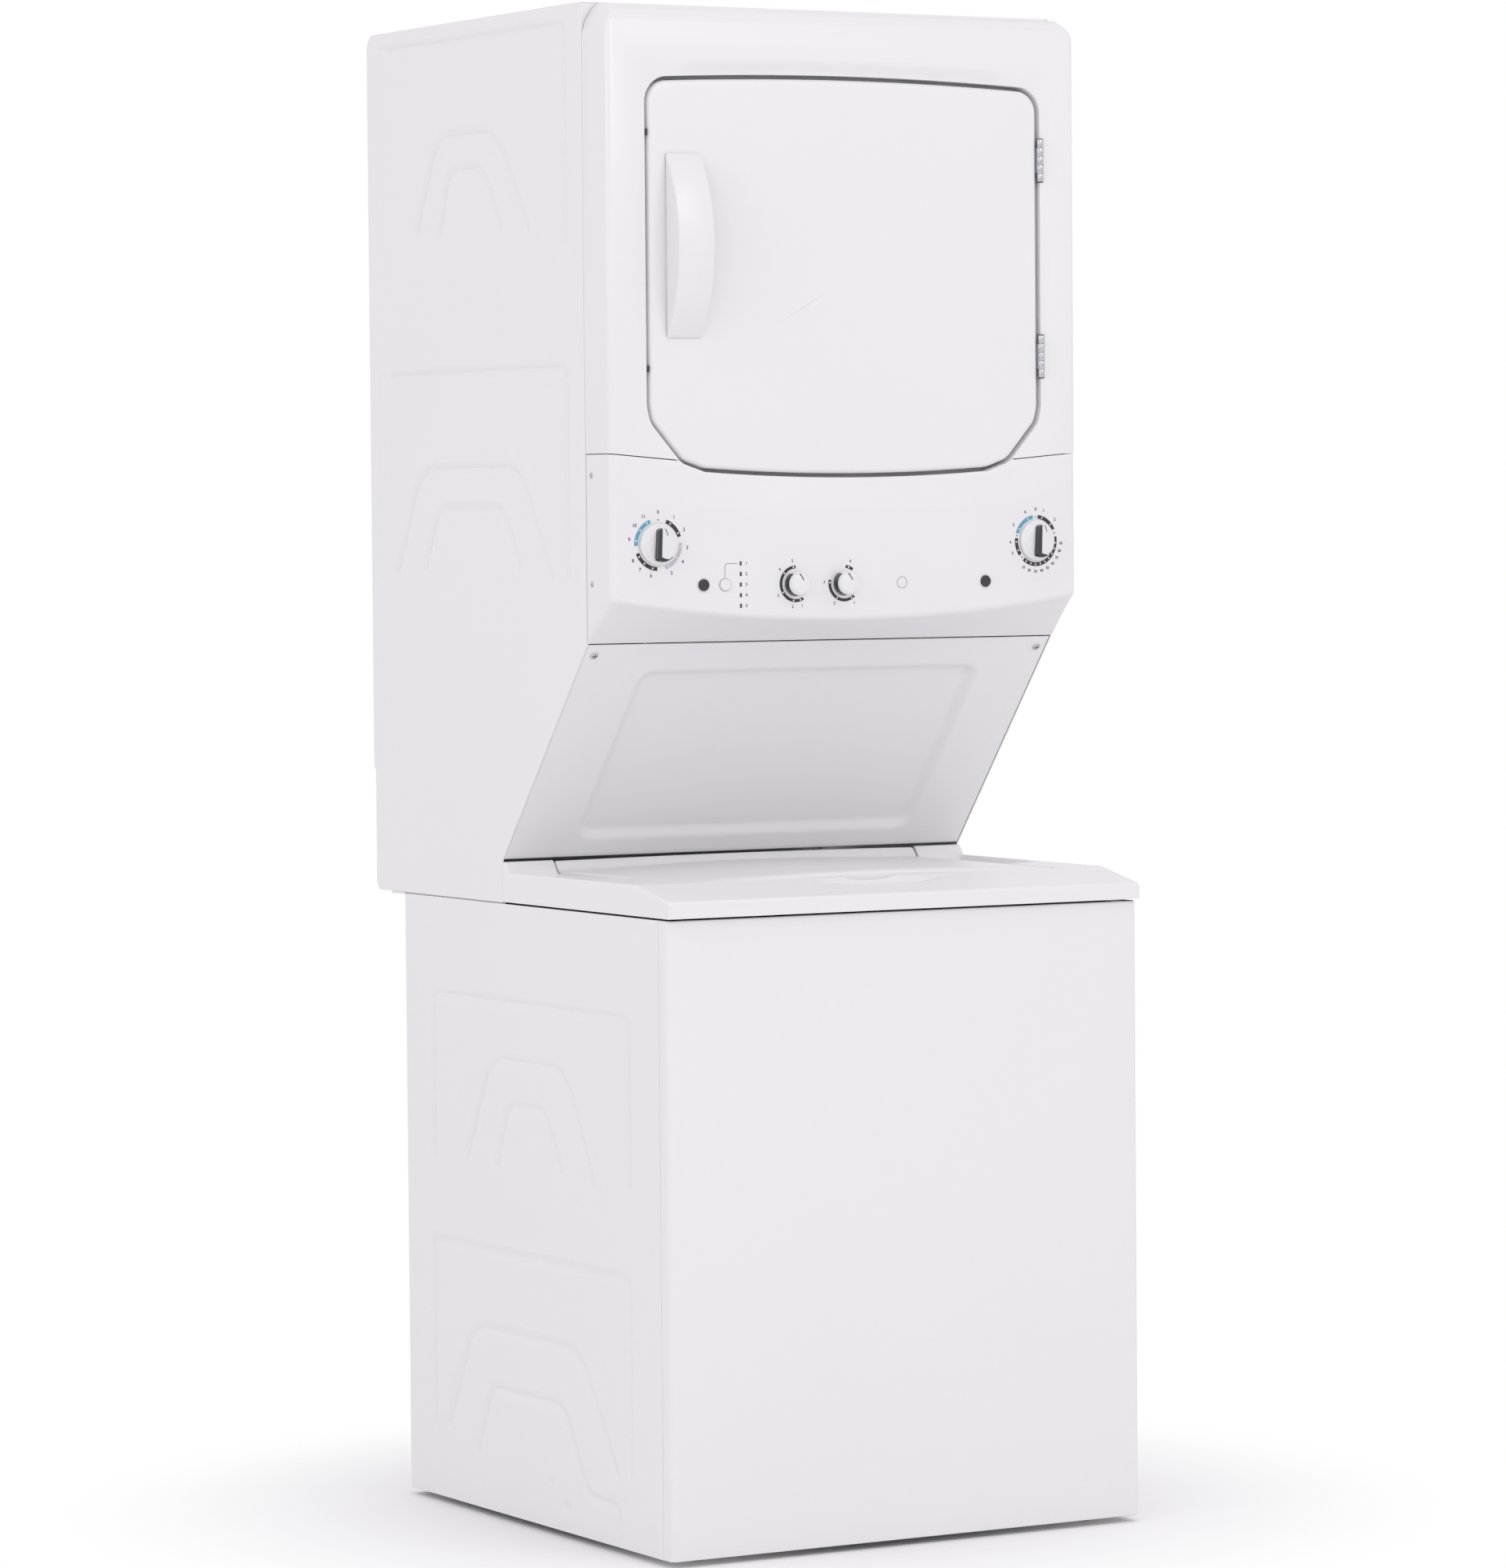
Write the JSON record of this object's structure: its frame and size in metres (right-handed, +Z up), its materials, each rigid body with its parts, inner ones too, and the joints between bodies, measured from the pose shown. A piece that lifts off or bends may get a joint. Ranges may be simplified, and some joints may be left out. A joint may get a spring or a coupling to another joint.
{
  "type": "washer dryer stack",
  "caption": "Tall white laundry stack: a top-loading washer with a front-loading dryer above it, a bowed control panel and a sloping panel between them.",
  "frame": {"origin": "middle of the footprint, at the bottom of the levelling feet", "axes": "+Z up, the door and controls face -Y, +X to the right seen from the front"},
  "size_m": [0.683, 0.806, 1.924],
  "materials": {
    "white_enamel": "gloss enamel",
    "white_plastic": "smooth gloss",
    "knob_plastic": "smooth gloss",
    "dark_button": "smooth gloss",
    "lens_grey": "smooth",
    "galvanised": "galvanised sheet",
    "steel": "brushed",
    "hinge_steel": "zinc plated",
    "tub_plastic": "moulded",
    "dark_plastic": "moulded",
    "valve_green": "moulded",
    "motor_paint": "satin",
    "glide_nylon": "moulded",
    "rubber": "matte"
  },
  "bodies": {
    "root": {"washer_cabinet": "white_enamel", "washer_front_panel": "white_enamel", "dryer_left_side": "white_enamel", "dryer_right_side": "white_enamel", "dryer_top": "white_enamel", "dryer_front_panel": "white_enamel", "access_panel": "white_enamel", "washer_top_cover": "white_enamel", "console_panel": "white_plastic", "indicator_lenses": "lens_grey", "washer_base": "galvanised", "dryer_back": "galvanised", "dryer_base": "galvanised", "front_bulkhead": "galvanised", "rear_bulkhead": "galvanised", "exhaust_duct": "galvanised", "heater": "galvanised", "suspension_rods": "steel", "frame_hinge_leaves": "hinge_steel", "panel_screws": "hinge_steel", "outer_tub": "tub_plastic", "blower_housing": "tub_plastic", "lid_lock": "dark_plastic", "drain_pump": "dark_plastic", "console_switches": "dark_plastic", "levelling_feet": "dark_plastic", "inlet_valve": "valve_green", "washer_motor": "motor_paint", "dryer_motor": "motor_paint", "gearcase": "motor_paint", "drum_glides": "glide_nylon", "washer_belt": "rubber", "dryer_belt": "rubber", "washer_hoses": "rubber"},
    "dryer_door": {"door_outer": "white_enamel", "door_inner": "white_enamel", "door_handle": "white_plastic", "door_seal": "rubber", "door_strike": "steel", "door_hinge_leaves": "hinge_steel"},
    "lid": {"washer_lid": "white_enamel"},
    "lint_filter": {"lint_filter": "tub_plastic"},
    "drum": {"drum": "steel", "drum_baffles": "tub_plastic"},
    "dryer_rotor": {"motor_shaft": "steel", "blower_wheel": "dark_plastic"},
    "idler_arm": {"idler_arm": "steel"},
    "idler_pulley": {"idler_pulley": "glide_nylon"},
    "basket": {"wash_basket": "steel", "balance_ring": "tub_plastic", "drive_shaft": "steel"},
    "agitator": {"agitator": "tub_plastic"},
    "washer_rotor": {"motor_pulley": "steel"},
    "washer_cycle_knob": {"washer_cycle_knob": "knob_plastic"},
    "dryer_cycle_knob": {"dryer_cycle_knob": "knob_plastic"},
    "temperature_knob": {"temperature_knob": "knob_plastic"},
    "load_knob": {"load_knob": "knob_plastic"},
    "washer_start_button": {"washer_start_button": "dark_button"},
    "dryer_start_button": {"dryer_start_button": "dark_button"},
    "rinse_button": {"rinse_button": "knob_plastic"}
  },
  "joints": [
    {"name": "door_swing", "type": "hinge", "parent": "root", "child": "dryer_door", "pos_m": [0.288, -0.263, 1.5855], "axis": [0, 0, 1], "range_deg": [0, 120]},
    {"name": "lid_swing", "type": "hinge", "parent": "root", "child": "lid", "pos_m": [0, 0.021, 0.818], "axis": [-1, 0, 0], "range_deg": [0, 48]},
    {"name": "filter_slide", "type": "slide", "parent": "root", "child": "lint_filter", "axis": [0, 0, 1], "range_m": [0, 0.14]},
    {"name": "drum_spin", "type": "hinge", "parent": "root", "child": "drum", "pos_m": [0, 0.083, 1.603], "axis": [0, 1, 0], "continuous": true},
    {"name": "dryer_motor_spin", "type": "hinge", "parent": "root", "child": "dryer_rotor", "pos_m": [-0.06, 0.003, 1.206], "axis": [0, 1, 0], "continuous": true},
    {"name": "idler_swing", "type": "hinge", "parent": "root", "child": "idler_arm", "pos_m": [-0.01, 0.118, 1.128], "axis": [0, 1, 0], "range_deg": [0, 10], "stiffness_Nm_per_rad": 3, "springref_deg": -20.05},
    {"name": "idler_spin", "type": "hinge", "parent": "idler_arm", "child": "idler_pulley", "pos_m": [0.03454, 0.103, 1.22275], "axis": [0, 1, 0], "continuous": true},
    {"name": "basket_spin", "type": "hinge", "parent": "root", "child": "basket", "pos_m": [0, -0.082, 0.408], "axis": [0, 0, 1], "continuous": true},
    {"name": "agitator_turn", "type": "hinge", "parent": "basket", "child": "agitator", "pos_m": [0, -0.082, 0.408], "axis": [0, 0, 1], "range_deg": [-160, 160]},
    {"name": "washer_motor_spin", "type": "hinge", "parent": "root", "child": "washer_rotor", "pos_m": [0, -0.267, 0.128], "axis": [0, 0, 1], "continuous": true},
    {"name": "washer_cycle_turn", "type": "hinge", "parent": "root", "child": "washer_cycle_knob", "pos_m": [-0.276, -0.26616, 1.252], "axis": [-0.0567, -0.9984, 0], "continuous": true},
    {"name": "dryer_cycle_turn", "type": "hinge", "parent": "root", "child": "dryer_cycle_knob", "pos_m": [0.276, -0.26616, 1.252], "axis": [0.0567, -0.9984, 0], "continuous": true},
    {"name": "temperature_turn", "type": "hinge", "parent": "root", "child": "temperature_knob", "pos_m": [-0.084, -0.27327, 1.201], "axis": [-0.0173, -0.9999, 0], "range_deg": [0, 255]},
    {"name": "load_turn", "type": "hinge", "parent": "root", "child": "load_knob", "pos_m": [-0.014, -0.27398, 1.201], "axis": [-0.0029, -1, 0], "range_deg": [-265, 0]},
    {"name": "washer_start_press", "type": "slide", "parent": "root", "child": "washer_start_button", "axis": [0.044, 0.999, 0], "range_m": [0, 0.0025], "stiffness_N_per_m": 400, "springref_m": -0.003},
    {"name": "dryer_start_press", "type": "slide", "parent": "root", "child": "dryer_start_button", "axis": [-0.0405, 0.9992, 0], "range_m": [0, 0.0025], "stiffness_N_per_m": 400, "springref_m": -0.003},
    {"name": "rinse_press", "type": "slide", "parent": "root", "child": "rinse_button", "axis": [0.0378, 0.9993, 0], "range_m": [0, 0.0025], "stiffness_N_per_m": 400, "springref_m": -0.003}
  ],
  "couplings": [
    {"joint": "dryer_motor_spin", "follows": "drum_spin", "ratio": 19.077},
    {"joint": "idler_spin", "follows": "drum_spin", "ratio": -10.783},
    {"joint": "washer_motor_spin", "follows": "basket_spin", "ratio": 5.0246}
  ]
}
